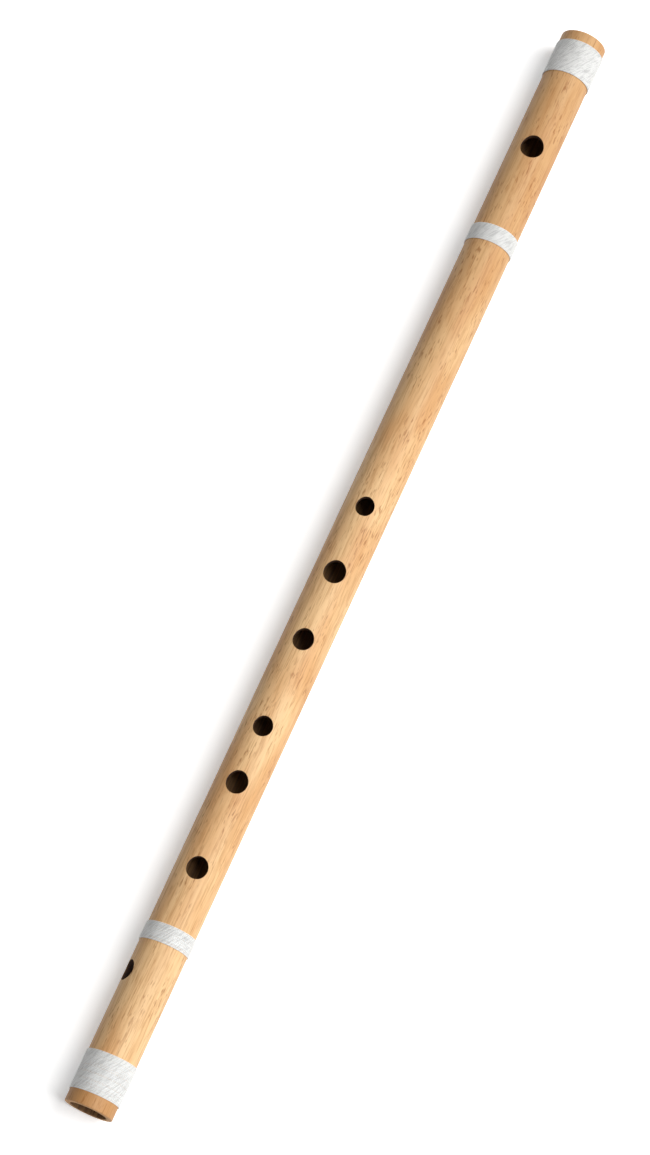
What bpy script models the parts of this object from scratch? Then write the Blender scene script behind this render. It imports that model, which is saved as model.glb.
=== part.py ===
# Bansuri, a side-blown bamboo flute with a cork stopper and four thread bindings.
# Metres. +X runs from the head to the tail, +Z up through the finger holes.
# The flute lies on its bindings at Z = 0, with its middle over the origin.

import math
from collections import namedtuple

import bmesh
import bpy
from mathutils import Matrix, Vector

Hole = namedtuple("Hole", "from_end length width")
Binding = namedtuple("Binding", "name tube_end from_end width")

# Bamboo tube
TUBE_LENGTH = 0.680
TUBE_DIAMETER = 0.0272
BORE_DIAMETER = 0.0210
END_CHAMFER = 0.0004
TUBE_SIDES = 48
SMOOTH_BELOW = math.radians(35)

# Holes burnt through the top of the tube, their centres measured from the head end
BLOW_HOLE = Hole(from_end=0.0798, length=0.0143, width=0.0132)
FINGER_HOLES = (
    Hole(from_end=0.3192, length=0.0116, width=0.0104),
    Hole(from_end=0.3607, length=0.0136, width=0.0124),
    Hole(from_end=0.4030, length=0.0129, width=0.0115),
    Hole(from_end=0.4565, length=0.0118, width=0.0108),
    Hole(from_end=0.4905, length=0.0133, width=0.0119),
    Hole(from_end=0.5418, length=0.0128, width=0.0117),
)
HOLE_SIDES = 32

# Tuning hole low on the side at -Y, measured from the tail end
TUNING_HOLE = Hole(from_end=0.0749, length=0.0122, width=0.0112)
TUNING_HOLE_TURN = math.radians(63)

# Cork stopper, which slides in the bore between the head end and the blow hole
CORK_LENGTH = 0.0240
CORK_TO_BLOW_HOLE = 0.0190
CORK_CLEARANCE = 0.0003
CORK_CHAMFER = 0.0008

# Thread bindings, each placed by its edge nearest the tube's end
BINDINGS = (
    Binding("head_end_binding", "head", from_end=0.0064, width=0.0224),
    Binding("head_inner_binding", "head", from_end=0.1338, width=0.0112),
    Binding("tail_inner_binding", "tail", from_end=0.0934, width=0.0109),
    Binding("tail_end_binding", "tail", from_end=0.0070, width=0.0229),
)
THREAD_DIAMETER = 0.0005
THREAD_CLEARANCE = 0.0002
LOOP_SPACE = 0.00043
MOST_LOOPS = 24
LOOP_POINTS = 16
STARTS_AFTER_STEPS = 1.5

# Each loop is a polygon with a flat side underneath, cut flat by a tenth of the thread
LOOP_STEP = math.tau / LOOP_POINTS
LOOP_SIDE_IN = TUBE_DIAMETER / 2 + THREAD_CLEARANCE
LOOP_SIDE_OUT = LOOP_SIDE_IN + THREAD_DIAMETER
LOOP_CORNER = 1 / math.cos(LOOP_STEP / 2)
REST_FLAT_DEPTH = THREAD_DIAMETER / 10
AXIS_HEIGHT = LOOP_SIDE_OUT - REST_FLAT_DEPTH

HEAD_X = -TUBE_LENGTH / 2
TAIL_X = TUBE_LENGTH / 2
ALONG = Vector((1, 0, 0))


def clear_scene():
    for obj in list(bpy.data.objects):
        bpy.data.objects.remove(obj, do_unlink=True)


def make_material(name, colour, roughness):
    material = bpy.data.materials.new(name)
    material.use_nodes = True
    shader = material.node_tree.nodes["Principled BSDF"]
    shader.inputs["Base Color"].default_value = (*colour, 1)
    shader.inputs["Roughness"].default_value = roughness
    shader.inputs["Metallic"].default_value = 0
    return material


def make_object(name, bm, material, place):
    bmesh.ops.recalc_face_normals(bm, faces=bm.faces)
    mesh = bpy.data.meshes.new(name)
    bm.to_mesh(mesh)
    bm.free()
    mesh.materials.append(material)
    obj = bpy.data.objects.new(name, mesh)
    obj.location = place
    bpy.context.scene.collection.objects.link(obj)
    return obj


def shade_round(obj):
    obj.data.shade_smooth()
    obj.data.set_sharp_from_angle(angle=SMOOTH_BELOW)


def turn_profile(profile, sides):
    """A closed solid turned round the X axis from (x, radius) corners in a closed ring."""
    bm = bmesh.new()
    corners = [bm.verts.new((x, 0, radius)) for x, radius in profile]
    edges = [bm.edges.new((corners[i - 1], corners[i])) for i in range(len(corners))]
    bmesh.ops.spin(
        bm, geom=corners + edges, cent=(0, 0, 0), axis=ALONG,
        angle=math.tau, steps=sides, use_merge=True,
    )
    return bm


def add_plug(bm, hole, x, turn):
    """An oval plug from the tube's axis out past its skin, turned from +Z about the axis."""
    reach = TUBE_DIAMETER
    oval = Matrix.Diagonal((hole.length, hole.width, reach, 1))
    raised = Matrix.Translation((0, 0, reach / 2))
    place = Matrix.Translation((x, 0, 0)) @ Matrix.Rotation(turn, 4, "X") @ raised @ oval
    bmesh.ops.create_cone(
        bm, cap_ends=True, segments=HOLE_SIDES, radius1=0.5, radius2=0.5, depth=1, matrix=place,
    )


def make_hole_cutter():
    bm = bmesh.new()
    for hole in (BLOW_HOLE, *FINGER_HOLES):
        add_plug(bm, hole, HEAD_X + hole.from_end, 0)
    add_plug(bm, TUNING_HOLE, TAIL_X - TUNING_HOLE.from_end, TUNING_HOLE_TURN)

    mesh = bpy.data.meshes.new("hole_cutter")
    bm.to_mesh(mesh)
    bm.free()
    cutter = bpy.data.objects.new("hole_cutter", mesh)
    cutter.display_type = "WIRE"
    cutter.hide_render = True
    bpy.context.scene.collection.objects.link(cutter)
    return cutter


def make_tube(material, place):
    """The tube's profile has a corner halfway between neighbouring holes, so its facets stay short."""
    outer = TUBE_DIAMETER / 2
    inner = BORE_DIAMETER / 2
    hole_places = [HEAD_X + hole.from_end for hole in (BLOW_HOLE, *FINGER_HOLES)]
    hole_places.append(TAIL_X - TUNING_HOLE.from_end)
    halfway = [(hole_places[i] + hole_places[i + 1]) / 2 for i in range(len(hole_places) - 1)]
    profile = [
        (HEAD_X, inner),
        (HEAD_X, outer - END_CHAMFER),
        (HEAD_X + END_CHAMFER, outer),
        *((x, outer) for x in halfway),
        (TAIL_X - END_CHAMFER, outer),
        (TAIL_X, outer - END_CHAMFER),
        (TAIL_X, inner),
        *((x, inner) for x in reversed(halfway)),
    ]
    tube = make_object("bamboo_tube", turn_profile(profile, TUBE_SIDES), material, place)
    cutter = make_hole_cutter()
    cutter.location = place
    holes = tube.modifiers.new("holes", "BOOLEAN")
    holes.operation = "DIFFERENCE"
    holes.solver = "EXACT"
    holes.object = cutter
    shade_round(tube)
    return tube


def make_cork(material, place):
    """The cork's origin lies on its slide's axis, at the middle of the cork."""
    radius = BORE_DIAMETER / 2 - CORK_CLEARANCE
    half = CORK_LENGTH / 2
    bm = bmesh.new()
    bmesh.ops.create_cone(
        bm, cap_ends=True, segments=TUBE_SIDES, radius1=radius, radius2=radius, depth=CORK_LENGTH,
        matrix=Matrix.Rotation(math.radians(90), 4, "Y"),
    )
    rims = [edge for edge in bm.edges if edge.verts[0].co.x * edge.verts[1].co.x > 0]
    bmesh.ops.bevel(bm, geom=rims, offset=CORK_CHAMFER, segments=1, affect="EDGES")
    face_x = HEAD_X + BLOW_HOLE.from_end - CORK_TO_BLOW_HOLE
    cork = make_object("cork_stopper", bm, material, place + Vector((face_x - half, 0, 0)))
    shade_round(cork)
    return cork


def count_loops(width):
    fitting = math.floor((width - THREAD_DIAMETER) / (THREAD_DIAMETER + LOOP_SPACE))
    return min(fitting, MOST_LOOPS)


def least_gap(loops, pitch):
    """The least gap of a thread to itself, from points on its centre line half a loop or more apart."""
    radius = (LOOP_SIDE_IN + LOOP_SIDE_OUT) / 2 * LOOP_CORNER
    points = []
    for step in range(loops * LOOP_POINTS + 1):
        turn = step * LOOP_STEP
        points.append(Vector((step * pitch / LOOP_POINTS, radius * math.sin(turn), radius * math.cos(turn))))
    apart = LOOP_POINTS // 2
    nearest = min((b - a).length for i, a in enumerate(points) for b in points[i + apart:])
    return nearest - THREAD_DIAMETER


def make_binding(binding, material, place):
    """One unbroken thread, wound from a square section that starts beside the flat undersides."""
    loops = count_loops(binding.width)
    pitch = (binding.width - THREAD_DIAMETER) / loops
    near_x = HEAD_X + binding.from_end
    if binding.tube_end == "tail":
        near_x = TAIL_X - binding.from_end - binding.width

    bm = bmesh.new()
    corners = [
        bm.verts.new((near_x + across, 0, -side * LOOP_CORNER))
        for across, side in (
            (0, LOOP_SIDE_IN),
            (THREAD_DIAMETER, LOOP_SIDE_IN),
            (THREAD_DIAMETER, LOOP_SIDE_OUT),
            (0, LOOP_SIDE_OUT),
        )
    ]
    bm.faces.new(corners)
    start_turn = Matrix.Rotation(STARTS_AFTER_STEPS * LOOP_STEP, 3, "X")
    bmesh.ops.rotate(bm, verts=corners, cent=(0, 0, 0), matrix=start_turn)
    wound = bmesh.ops.spin(
        bm, geom=bm.faces[:] + bm.edges[:] + bm.verts[:], cent=(0, 0, 0), axis=ALONG,
        dvec=(pitch / LOOP_POINTS, 0, 0), angle=loops * math.tau, steps=loops * LOOP_POINTS,
        use_merge=False,
    )

    # The two ends run straight on for one thread diameter, square to their caps
    last_cap = next(item for item in wound["geom_last"] if isinstance(item, bmesh.types.BMFace))
    first_cap = next(face for face in bm.faces if all(corner in corners for corner in face.verts))
    onwards = start_turn @ Vector((0, THREAD_DIAMETER, 0))
    for cap, push in ((last_cap, onwards), (first_cap, -onwards)):
        drawn = bmesh.ops.extrude_discrete_faces(bm, faces=[cap])
        bmesh.ops.translate(bm, verts=drawn["faces"][0].verts[:], vec=push)

    # The undersides of the loops are cut off flat where they meet the table
    for vert in bm.verts:
        vert.co.z = max(vert.co.z, -AXIS_HEIGHT)

    print(f"{binding.name}: {loops} loops, least gap {least_gap(loops, pitch) * 1000:.3f} mm")
    return make_object(binding.name, bm, material, place)


def build():
    clear_scene()
    bamboo = make_material("bamboo", (0.72, 0.43, 0.20), 0.55)
    cork = make_material("cork", (0.48, 0.29, 0.15), 0.85)
    thread = make_material("nylon_thread", (0.86, 0.86, 0.84), 0.35)
    flute = bpy.data.objects.new("flute", None)
    bpy.context.scene.collection.objects.link(flute)
    axis_place = Vector((0, 0, AXIS_HEIGHT))
    pieces = [make_tube(bamboo, axis_place), make_cork(cork, axis_place)]
    pieces += [make_binding(binding, thread, axis_place) for binding in BINDINGS]
    for piece in pieces:
        piece.parent = flute


build()
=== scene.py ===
import math
import random

import bmesh
import bpy
from mathutils import Matrix, Vector


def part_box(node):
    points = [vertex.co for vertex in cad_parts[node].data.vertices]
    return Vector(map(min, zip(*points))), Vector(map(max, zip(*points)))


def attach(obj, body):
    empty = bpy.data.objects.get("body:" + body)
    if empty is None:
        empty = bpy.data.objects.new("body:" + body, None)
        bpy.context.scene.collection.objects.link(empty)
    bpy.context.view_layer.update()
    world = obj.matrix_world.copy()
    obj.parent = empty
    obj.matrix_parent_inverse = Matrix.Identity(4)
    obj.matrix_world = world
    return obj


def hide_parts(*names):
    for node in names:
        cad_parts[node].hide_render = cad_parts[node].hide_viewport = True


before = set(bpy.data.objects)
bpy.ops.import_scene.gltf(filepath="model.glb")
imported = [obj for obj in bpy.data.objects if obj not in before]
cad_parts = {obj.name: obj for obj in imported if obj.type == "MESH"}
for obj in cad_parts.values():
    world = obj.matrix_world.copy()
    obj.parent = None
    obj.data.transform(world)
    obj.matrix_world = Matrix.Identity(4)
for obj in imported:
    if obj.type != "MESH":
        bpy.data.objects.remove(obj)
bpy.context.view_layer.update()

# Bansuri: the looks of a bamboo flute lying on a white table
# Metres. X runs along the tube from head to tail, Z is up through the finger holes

tubeLow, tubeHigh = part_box("bamboo_tube")
axisHeight = (tubeLow.z + tubeHigh.z) / 2
headX, tailX = tubeLow.x, tubeHigh.x
tubeRadius = (tubeHigh.y - tubeLow.y) / 2
mm = 0.001
smoothBelow = math.radians(40)


def linear(hexColour):
    # sRGB hex to the linear colour that the shaders take
    parts = [int(hexColour[i:i + 2], 16) / 255 for i in (1, 3, 5)]
    return tuple(c / 12.92 if c <= 0.04045 else ((c + 0.055) / 1.055) ** 2.4 for c in parts) + (1,)


def toned(stops):
    # (place, hex) stops as (place, linear colour)
    return [(place, linear(hexColour)) for place, hexColour in stops]


def greys(stops):
    # (place, grey) stops as (place, colour)
    return [(place, (grey, grey, grey, 1)) for place, grey in stops]


def addNode(owner, kind, settings=None, stops=(), **links):
    # One node with its settings; stops are a ramp's (place, colour) pairs,
    # and a link is a socket of another node or else a value
    node = owner.node_tree.nodes.new(kind)
    for name, value in (settings or {}).items():
        setattr(node, name, value)
    for i, (place, colour) in enumerate(stops):
        element = node.color_ramp.elements[i] if i < 2 else node.color_ramp.elements.new(place)
        element.position = place
        element.color = colour
    for name, value in links.items():
        key = int(name[1:]) if name[0] == "_" else name.replace("_", " ")
        if isinstance(value, bpy.types.NodeSocket):
            owner.node_tree.links.new(value, node.inputs[key])
        else:
            node.inputs[key].default_value = value
    return node


def newMaterial(name):
    material = bpy.data.materials.new(name)
    material.use_nodes = True
    return material, material.node_tree.nodes["Principled BSDF"]


def finish(name, bm, *materials):
    # A finished piece sits at the origin with its place in its mesh
    mesh = bpy.data.meshes.new(name)
    bm.to_mesh(mesh)
    bm.free()
    for material in materials:
        mesh.materials.append(material)
    piece = bpy.data.objects.new(name, mesh)
    bpy.context.scene.collection.objects.link(piece)
    return piece


def lengthwiseNoise(material, place, length, width, detail):
    # noise drawn out along X, so that each cell is one mark of this length and width
    stretch = (1 / length, 1 / width, 1 / width)
    drawn = addNode(material, "ShaderNodeMapping", Vector=place, Scale=stretch)
    noise = addNode(material, "ShaderNodeTexNoise", Vector=drawn.outputs[0], Detail=detail, Scale=1.0)
    return noise.outputs[0]


# Bamboo skin: lightly sanded culm, honey with fine fibres and short dark flecks; browner towards the head
# and at the tail tip, partly the culm's own tone and partly painted shade
bambooSkin = {
    # a pattern is the length and width of one mark and the noise's detail;
    # fibres and flecks are drawn wider than the real 0.3 mm, so that they show
    "groundStops": ((0.38, "#E2B07B"), (0.60, "#F4CC98")),
    "fibre": "#B07844",
    "fleck": "#95592C",
    # brown: laid along the tube as painted shade, together with the culm's browner tone
    "brown": "#B68350",
    "fibrePattern": (13 * mm, 0.8 * mm, 3.0),
    "fibreStops": ((0.36, 0.40), (0.50, 0.0)),
    "streakPattern": (70 * mm, 2.4 * mm, 2.0),
    "streakStops": ((0.36, 0.20), (0.50, 0.0)),
    "fleckPattern": (5.0 * mm, 1.0 * mm, 1.0),
    "fleckStops": ((0.57, 0.0), (0.70, 0.62)),
    "groundPattern": (60 * mm, 12 * mm, 2.0),
    "patchPattern": (25 * mm, 7 * mm, 1.0),
    "patchStops": ((0.42, 0.15), (0.60, 1.0)),
    # how much painted shade and browner tone lie on the culm along its length, from the head end to the
    # tail end
    "brownStops": ((0.0, 0.55), (0.15, 0.5), (0.30, 0.35), (0.45, 0.08), (0.97, 0.08), (0.985, 0.75)),
    "roughness": 0.5,
    "shine": 0.22,
    "bumpHeight": 0.04 * mm,
    "bumpStrength": 0.5,
}


def makeBambooSkin():
    d = bambooSkin
    material, shader = newMaterial("sanded_bamboo_skin")
    place = addNode(material, "ShaderNodeTexCoord").outputs["Object"]
    x = addNode(material, "ShaderNodeSeparateXYZ", Vector=place).outputs[0]
    along = addNode(material, "ShaderNodeMapRange", _0=x, _1=headX, _2=tailX).outputs[0]
    pattern = {
        name: lengthwiseNoise(material, place, *d[name + "Pattern"])
        for name in ("fibre", "streak", "fleck", "ground", "patch")
    }
    shade = {}
    for name, value in (("brown", along), *pattern.items()):
        stops = toned(d["groundStops"]) if name == "ground" else greys(d[name + "Stops"])
        shade[name] = addNode(material, "ShaderNodeValToRGB", stops=stops, _0=value).outputs[0]
    flecks = addNode(
        material, "ShaderNodeMath", {"operation": "MULTIPLY"}, _0=shade["fleck"], _1=shade["patch"],
    )

    # each darker colour is laid over the ground by its own shade
    colour = shade["ground"]
    layers = (
        # painted shade along the tube, with the culm's browner tone, darkest towards the head and at the
        # tail tip
        (shade["brown"], d["brown"]),
        (shade["streak"], d["fibre"]),
        (shade["fibre"], d["fibre"]),
        (flecks.outputs[0], d["fleck"]),
    )
    for amount, over in layers:
        laid = addNode(
            material, "ShaderNodeMix", {"data_type": "RGBA"}, _0=amount, _6=colour, _7=linear(over),
        )
        colour = laid.outputs[2]
    bump = addNode(
        material, "ShaderNodeBump",
        Height=pattern["fibre"], Distance=d["bumpHeight"], Strength=d["bumpStrength"],
    )
    material.node_tree.links.new(colour, shader.inputs["Base Color"])
    material.node_tree.links.new(bump.outputs[0], shader.inputs["Normal"])
    shader.inputs["Roughness"].default_value = d["roughness"]
    shader.inputs["Specular IOR Level"].default_value = d["shine"]
    return material


# Sawn bamboo: end grain, browner than the skin, with the dark dots of the fibre bundles
sawnBamboo = {"dotStops": ((0.18, "#8B5C33"), (0.42, "#C08F57")), "dotSize": 0.8 * mm, "roughness": 0.7}


def makeSawnBamboo():
    d = sawnBamboo
    material, shader = newMaterial("sawn_bamboo_end")
    place = addNode(material, "ShaderNodeTexCoord").outputs["Object"]
    cells = addNode(material, "ShaderNodeTexVoronoi", Vector=place, Scale=1 / d["dotSize"])
    tone = addNode(
        material, "ShaderNodeValToRGB", stops=toned(d["dotStops"]), _0=cells.outputs["Distance"],
    )
    material.node_tree.links.new(tone.outputs[0], shader.inputs["Base Color"])
    shader.inputs["Roughness"].default_value = d["roughness"]
    return material


# Burnt hole wall: charred by the hot rod that opened it, with a thin pale rim where it was sanded
burntWall = {
    "charStops": ((0.35, "#24160E"), (0.70, "#553520")),
    "rim": "#D9AE7C",
    "rimDepth": 0.45 * mm,
    "grain": 1.5 * mm,
    "grainDetail": 3.0,
    "roughness": 0.7,
}


def makeBurntWall():
    d = burntWall
    material, shader = newMaterial("burnt_hole_wall")
    place = addNode(material, "ShaderNodeTexCoord").outputs["Object"]
    noise = addNode(
        material, "ShaderNodeTexNoise", Vector=place, Scale=1 / d["grain"], Detail=d["grainDetail"],
    )
    tone = addNode(material, "ShaderNodeValToRGB", stops=toned(d["charStops"]), _0=noise.outputs[0])
    # how close a point of the wall is to the skin, from its distance to the tube's axis
    offAxis = addNode(
        material, "ShaderNodeVectorMath", {"operation": "MULTIPLY_ADD"},
        _0=place, _1=(0, 1, 1), _2=(0, 0, -axisHeight),
    )
    spread = addNode(material, "ShaderNodeVectorMath", {"operation": "LENGTH"}, _0=offAxis.outputs[0])
    nearSkin = addNode(
        material, "ShaderNodeMapRange",
        _0=spread.outputs["Value"], _1=tubeRadius - d["rimDepth"], _2=tubeRadius,
    )
    colour = addNode(
        material, "ShaderNodeMix", {"data_type": "RGBA"},
        _0=nearSkin.outputs[0], _6=tone.outputs[0], _7=linear(d["rim"]),
    )
    material.node_tree.links.new(colour.outputs[2], shader.inputs["Base Color"])
    shader.inputs["Roughness"].default_value = d["roughness"]
    return material


# Bore: the scraped inside of the culm, brown and dull, with coarser fibres than the skin
scrapedBore = {
    "fibrePattern": (40 * mm, 1.2 * mm, 2.0),
    "fibreStops": ((0.35, "#6F4E31"), (0.65, "#9C7549")),
    "roughness": 0.75,
}


def makeScrapedBore():
    d = scrapedBore
    material, shader = newMaterial("scraped_bamboo_bore")
    place = addNode(material, "ShaderNodeTexCoord").outputs["Object"]
    fibres = lengthwiseNoise(material, place, *d["fibrePattern"])
    tone = addNode(material, "ShaderNodeValToRGB", stops=toned(d["fibreStops"]), _0=fibres)
    material.node_tree.links.new(tone.outputs[0], shader.inputs["Base Color"])
    shader.inputs["Roughness"].default_value = d["roughness"]
    return material


# Nylon thread: silky white filament, with the light and shade of its twist painted in as short slanting
# grey streaks
nylonThread = {
    "white": "#EEEEEC",
    # grey: the painted shade between the twist's ridges
    "grey": "#B6B6B4",
    # streaks are drawn coarser than the real twist, which is too fine to show
    "streakPattern": (6.0 * mm, 0.8 * mm, 3.0),
    "streakTurn": math.radians(35),
    "streakStops": ((0.38, 0.5), (0.54, 0.0)),
    "roughness": 0.3,
    "sheen": 0.25,
}


def makeNylonThread():
    d = nylonThread
    material, shader = newMaterial("silky_nylon_thread")
    wound = addNode(material, "ShaderNodeAttribute", {"attribute_name": "wound"}).outputs["Vector"]
    turned = addNode(material, "ShaderNodeMapping", Vector=wound, Rotation=(0, 0, d["streakTurn"]))
    streaks = lengthwiseNoise(material, turned.outputs[0], *d["streakPattern"])
    shade = addNode(material, "ShaderNodeValToRGB", stops=greys(d["streakStops"]), _0=streaks)
    # painted shade of the twist, laid over the white in streaks
    colour = addNode(
        material, "ShaderNodeMix", {"data_type": "RGBA"},
        _0=shade.outputs[0], _6=linear(d["white"]), _7=linear(d["grey"]),
    )
    material.node_tree.links.new(colour.outputs[2], shader.inputs["Base Color"])
    shader.inputs["Roughness"].default_value = d["roughness"]
    shader.inputs["Sheen Weight"].default_value = d["sheen"]
    return material


# Natural cork: warm brown, matt, with dark pores
naturalCork = {
    "poreStops": ((0.12, "#6B4526"), (0.30, "#B58A5C")),
    "poreSize": 2.2 * mm,
    "roughness": 0.85,
    "bumpHeight": 0.15 * mm,
    "bumpStrength": 0.5,
}


def makeNaturalCork():
    d = naturalCork
    material, shader = newMaterial("natural_cork")
    place = addNode(material, "ShaderNodeTexCoord").outputs["Object"]
    cells = addNode(material, "ShaderNodeTexVoronoi", Vector=place, Scale=1 / d["poreSize"])
    pores = cells.outputs["Distance"]
    tone = addNode(material, "ShaderNodeValToRGB", stops=toned(d["poreStops"]), _0=pores)
    bump = addNode(
        material, "ShaderNodeBump", Height=pores, Distance=d["bumpHeight"], Strength=d["bumpStrength"],
    )
    material.node_tree.links.new(tone.outputs[0], shader.inputs["Base Color"])
    material.node_tree.links.new(bump.outputs[0], shader.inputs["Normal"])
    shader.inputs["Roughness"].default_value = d["roughness"]
    return material


# Tube
tube = {
    "sides": 128,
    "boreRadius": 10.5 * mm,
    "endRound": 0.5 * mm,
    "roundSteps": 4,
    "holeSides": 64,
    # each hole's distance from the head end, length and width
    "blowHole": (79.8 * mm, 14.3 * mm, 13.2 * mm),
    "fingerHoles": (
        (319.2 * mm, 11.6 * mm, 10.4 * mm),
        (360.7 * mm, 13.6 * mm, 12.4 * mm),
        (403.0 * mm, 12.9 * mm, 11.5 * mm),
        (456.5 * mm, 11.8 * mm, 10.8 * mm),
        (490.5 * mm, 13.3 * mm, 11.9 * mm),
        (541.8 * mm, 12.8 * mm, 11.7 * mm),
    ),
    "tuningHole": (605.1 * mm, 12.2 * mm, 11.2 * mm),
    "tuningTurn": math.radians(63),
    # how a face is told to be a sawn end, bore or skin
    "endNormal": 0.8,
    "endDepth": 1.0 * mm,
    "boreSlack": 0.05 * mm,
    "skinSlack": 0.6 * mm,
    # material slots
    "skin": 0,
    "end": 1,
    "wall": 2,
    "bore": 3,
}


def makeTube():
    d = tube
    bm = bmesh.new()
    inner, outer, soft = d["boreRadius"], tubeRadius, d["endRound"]
    profile = []
    for x, side in ((headX, 1), (tailX, -1)):
        rounded = []
        for i in range(d["roundSteps"] + 1):
            turn = math.radians(90) * i / d["roundSteps"]
            rounded.append((x + side * soft * (1 - math.sin(turn)), outer - soft + soft * math.cos(turn)))
        profile += [(x, inner), *reversed(rounded)] if side > 0 else [*rounded, (x, inner)]
    ring = [bm.verts.new((x, 0, radius)) for x, radius in profile]
    edges = [bm.edges.new((ring[i - 1], ring[i])) for i in range(len(ring))]
    bmesh.ops.spin(
        bm, geom=ring + edges, cent=(0, 0, 0), axis=(1, 0, 0),
        angle=math.tau, steps=d["sides"], use_merge=True,
    )
    bmesh.ops.recalc_face_normals(bm, faces=bm.faces)
    return bm


def makePlugs():
    d = tube
    bm = bmesh.new()
    reach = tubeRadius * 2
    holes = [(hole, 0) for hole in (d["blowHole"], *d["fingerHoles"])]
    for (fromHead, length, width), turn in holes + [(d["tuningHole"], d["tuningTurn"])]:
        place = Matrix.Translation((headX + fromHead, 0, 0)) @ Matrix.Rotation(turn, 4, "X")
        place = place @ Matrix.Translation((0, 0, reach / 2)) @ Matrix.Diagonal((length, width, reach, 1))
        bmesh.ops.create_cone(
            bm, cap_ends=True, segments=d["holeSides"], radius1=0.5, radius2=0.5, depth=1, matrix=place,
        )
    return bm


def sortTubeFaces(mesh):
    # skin outside, bore inside, sawn ends, burnt walls in between
    d = tube
    for face in mesh.polygons:
        spread = Vector((0, face.center.y, face.center.z - axisHeight)).length
        fromEnd = min(face.center.x - headX, tailX - face.center.x)
        facesEnd = abs(face.normal.x) > d["endNormal"] and fromEnd < d["endDepth"]
        if facesEnd and spread < tubeRadius - d["endRound"]:
            face.material_index = d["end"]
        elif spread < d["boreRadius"] + d["boreSlack"]:
            face.material_index = d["bore"]
        elif spread > tubeRadius - d["skinSlack"]:
            face.material_index = d["skin"]
        else:
            face.material_index = d["wall"]


def buildTube():
    lift = Matrix.Translation((0, 0, axisHeight))
    bodyMesh = makeTube()
    bmesh.ops.transform(bodyMesh, matrix=lift, verts=bodyMesh.verts)
    plugMesh = makePlugs()
    bmesh.ops.transform(plugMesh, matrix=lift, verts=plugMesh.verts)
    looks = (makeBambooSkin(), makeSawnBamboo(), makeBurntWall(), makeScrapedBore())
    piece = finish("bamboo_tube_fine", bodyMesh, *looks)
    plugs = finish("hole_plugs", plugMesh)
    cut = piece.modifiers.new("holes", "BOOLEAN")
    cut.operation = "DIFFERENCE"
    cut.solver = "EXACT"
    cut.object = plugs
    evaluated = piece.evaluated_get(bpy.context.evaluated_depsgraph_get())
    cutMesh = bpy.data.meshes.new_from_object(evaluated)
    piece.modifiers.clear()
    piece.data = cutMesh
    bpy.data.objects.remove(plugs, do_unlink=True)
    sortTubeFaces(piece.data)
    piece.data.shade_smooth()
    piece.data.set_sharp_from_angle(angle=smoothBelow)
    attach(piece, "flute")
    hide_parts("bamboo_tube")


# Thread bindings: each is one thread wound close by hand, turn against turn
winding = {
    "thread": 0.55 * mm,
    "stepsPerTurn": 72,
    "bevelSteps": 2,
    "startTurn": math.radians(200),
    # how far a turn may stray along the tube and sink towards it, and the slant of every turn
    "wander": 0.07 * mm,
    "sink": 0.05 * mm,
    "lean": 0.25 * mm,
    "nodes": ("head_end_binding", "head_inner_binding", "tail_inner_binding", "tail_end_binding"),
}


def buildWinding(node, material):
    d = winding
    low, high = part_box(node)
    radius = d["thread"] / 2
    turns = round((high.x - low.x - d["thread"]) / d["thread"])
    pitch = (high.x - low.x - d["thread"]) / turns
    handMade = random.Random(node)
    wander = [handMade.uniform(-1, 1) for _ in range(turns + 2)]
    sink = [handMade.uniform(0, 1) for _ in range(turns + 2)]

    curve = bpy.data.curves.new(node + "_path", "CURVE")
    curve.dimensions = "3D"
    curve.bevel_depth = radius
    curve.bevel_resolution = d["bevelSteps"]
    curve.use_fill_caps = True
    spline = curve.splines.new("POLY")
    steps = turns * d["stepsPerTurn"]
    spline.points.add(steps)
    for i in range(steps + 1):
        turn, part = divmod(i / d["stepsPerTurn"], 1)
        turn = int(turn)
        angle = d["startTurn"] + i * math.tau / d["stepsPerTurn"]
        aside = wander[turn] * (1 - part) + wander[turn + 1] * part
        inwards = sink[turn] * (1 - part) + sink[turn + 1] * part
        x = low.x + radius + i * pitch / d["stepsPerTurn"]
        x += aside * d["wander"] + d["lean"] * math.sin(angle)
        reach = axisHeight - radius - inwards * d["sink"]
        spline.points[i].co = (x, -reach * math.sin(angle), axisHeight + reach * math.cos(angle), 1)
    path = bpy.data.objects.new(node + "_path", curve)
    bpy.context.scene.collection.objects.link(path)
    mesh = bpy.data.meshes.new_from_object(path.evaluated_get(bpy.context.evaluated_depsgraph_get()))
    bpy.data.objects.remove(path, do_unlink=True)

    # the place on the unrolled band, for the streaks
    wound = mesh.attributes.new("wound", "FLOAT_VECTOR", "POINT")
    for vert in mesh.vertices:
        arc = math.atan2(vert.co.y, vert.co.z - axisHeight) * tubeRadius
        wound.data[vert.index].vector = (vert.co.x, arc, 0)
    mesh.materials.clear()
    mesh.materials.append(material)
    mesh.shade_smooth()
    piece = bpy.data.objects.new(node + "_thread", mesh)
    bpy.context.scene.collection.objects.link(piece)
    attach(piece, "flute")
    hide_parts(node)


# Cork stopper
stopper = {"sides": 64, "clearance": 0.1 * mm, "edgeRound": 1.0 * mm, "edgeSteps": 3}


def buildStopper():
    d = stopper
    low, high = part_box("cork_stopper")
    length = high.x - low.x
    middle = (low.x + high.x) / 2
    radius = tube["boreRadius"] - d["clearance"]
    place = Matrix.Translation((middle, 0, axisHeight)) @ Matrix.Rotation(math.radians(90), 4, "Y")
    bm = bmesh.new()
    bmesh.ops.create_cone(
        bm, cap_ends=True, segments=d["sides"], radius1=radius, radius2=radius, depth=length, matrix=place,
    )
    rims = [e for e in bm.edges if (e.verts[0].co.x - middle) * (e.verts[1].co.x - middle) > 0]
    bmesh.ops.bevel(
        bm, geom=rims, offset=d["edgeRound"], affect="EDGES", segments=d["edgeSteps"],
        profile=0.5, material=-1,
    )
    piece = finish("cork_stopper_fine", bm, makeNaturalCork())
    piece.data.shade_smooth()
    piece.data.set_sharp_from_angle(angle=smoothBelow)
    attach(piece, "stopper")
    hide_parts("cork_stopper")


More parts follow.
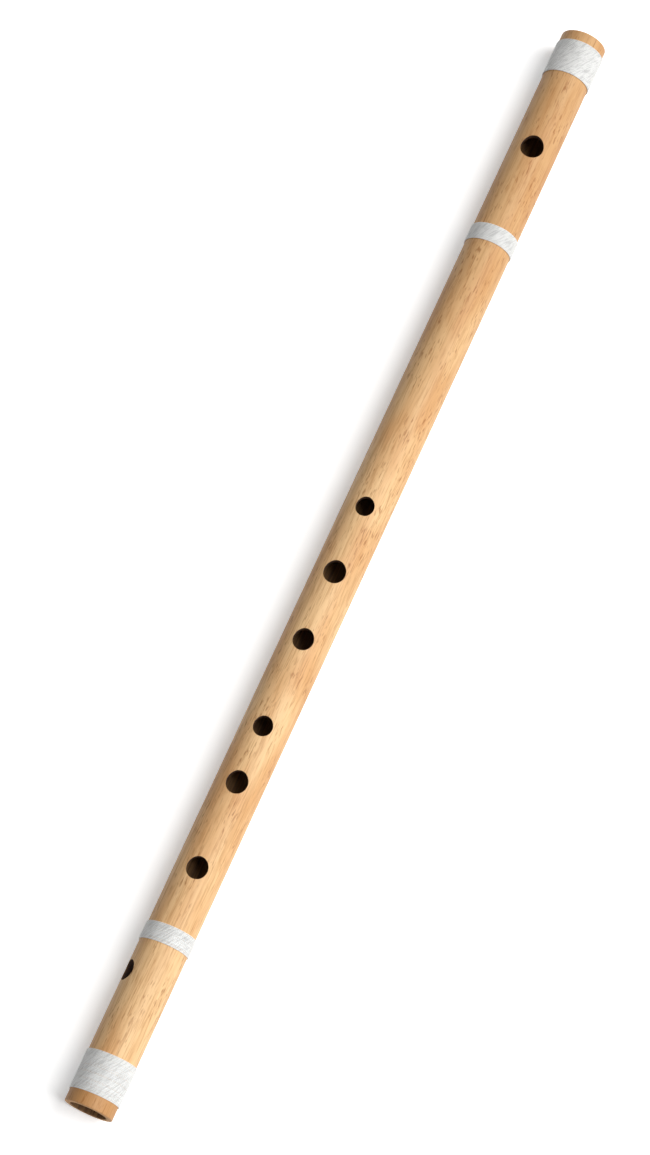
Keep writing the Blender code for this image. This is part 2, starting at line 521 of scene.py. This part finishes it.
# Camera at the photograph's angle: above the flute, off its tail
view = {
    "lens": 104.85,
    "sensor": 36.0,
    "fromHeadEnd": (925.4 * mm, 241.9 * mm, 1738.5 * mm),
    "tilt": math.radians(19.5),
    "heading": math.radians(113.68),
}


def placeCamera():
    d = view
    data = bpy.data.cameras.new("camera")
    data.lens = d["lens"]
    data.sensor_width = d["sensor"]
    camera = bpy.data.objects.new("camera", data)
    camera.location = Vector((headX, 0, axisHeight)) + Vector(d["fromHeadEnd"])
    camera.rotation_euler = (d["tilt"], 0, d["heading"])
    bpy.context.scene.collection.objects.link(camera)
    bpy.context.scene.camera = camera


# White table under one soft lamp high on the right, a little towards the head
studio = {
    "floorSize": 6.0,
    "floorColour": "#FAFAFA",
    "floorRoughness": 0.9,
    "floorGlow": 0.44,
    "worldStrength": 0.08,
    "worldSeen": 1.0,
    "sunFrom": (-0.2, 0.76, 1.0),
    "sunSpread": math.radians(50),
    "sunStrength": 3.4,
}


def seenDirectly(owner):
    # 1 for what the camera sees, by itself or in a glossy or clear surface
    path = addNode(owner, "ShaderNodeLightPath").outputs
    seen = path["Is Camera Ray"]
    for kind in ("Is Glossy Ray", "Is Transmission Ray"):
        seen = addNode(owner, "ShaderNodeMath", {"operation": "MAXIMUM"}, _0=seen, _1=path[kind]).outputs[0]
    return seen


def buildStudio():
    d = studio
    floorMaterial, shader = newMaterial("white_table")
    shader.inputs["Base Color"].default_value = linear(d["floorColour"])
    shader.inputs["Roughness"].default_value = d["floorRoughness"]
    glow = addNode(
        floorMaterial, "ShaderNodeMath", {"operation": "MULTIPLY"},
        _0=seenDirectly(floorMaterial), _1=d["floorGlow"],
    )
    shader.inputs["Emission Color"].default_value = (1, 1, 1, 1)
    floorMaterial.node_tree.links.new(glow.outputs[0], shader.inputs["Emission Strength"])
    bm = bmesh.new()
    bmesh.ops.create_grid(bm, x_segments=1, y_segments=1, size=d["floorSize"] / 2)
    floor = finish("table_top", bm, floorMaterial)

    world = bpy.data.worlds.new("white_room")
    bpy.context.scene.world = world
    world.use_nodes = True
    background = world.node_tree.nodes["Background"]
    background.inputs["Color"].default_value = (1, 1, 1, 1)
    strength = addNode(
        world, "ShaderNodeMix", _0=seenDirectly(world), _2=d["worldStrength"], _3=d["worldSeen"],
    )
    world.node_tree.links.new(strength.outputs[0], background.inputs["Strength"])

    lamp = bpy.data.lights.new("soft_sun", "SUN")
    lamp.angle = d["sunSpread"]
    lamp.energy = d["sunStrength"]
    sun = bpy.data.objects.new("soft_sun", lamp)
    sun.location = d["sunFrom"]
    sun.rotation_euler = (-Vector(d["sunFrom"])).to_track_quat("-Z", "Y").to_euler()
    bpy.context.scene.collection.objects.link(sun)
    bpy.context.scene.view_settings.view_transform = "Standard"


placeCamera()
print("camera placed")
buildTube()
print("tube built")
threadMaterial = makeNylonThread()
for nodeName in winding["nodes"]:
    buildWinding(nodeName, threadMaterial)
print("bindings wound")
buildStopper()
print("stopper built")
buildStudio()
print("studio lit")
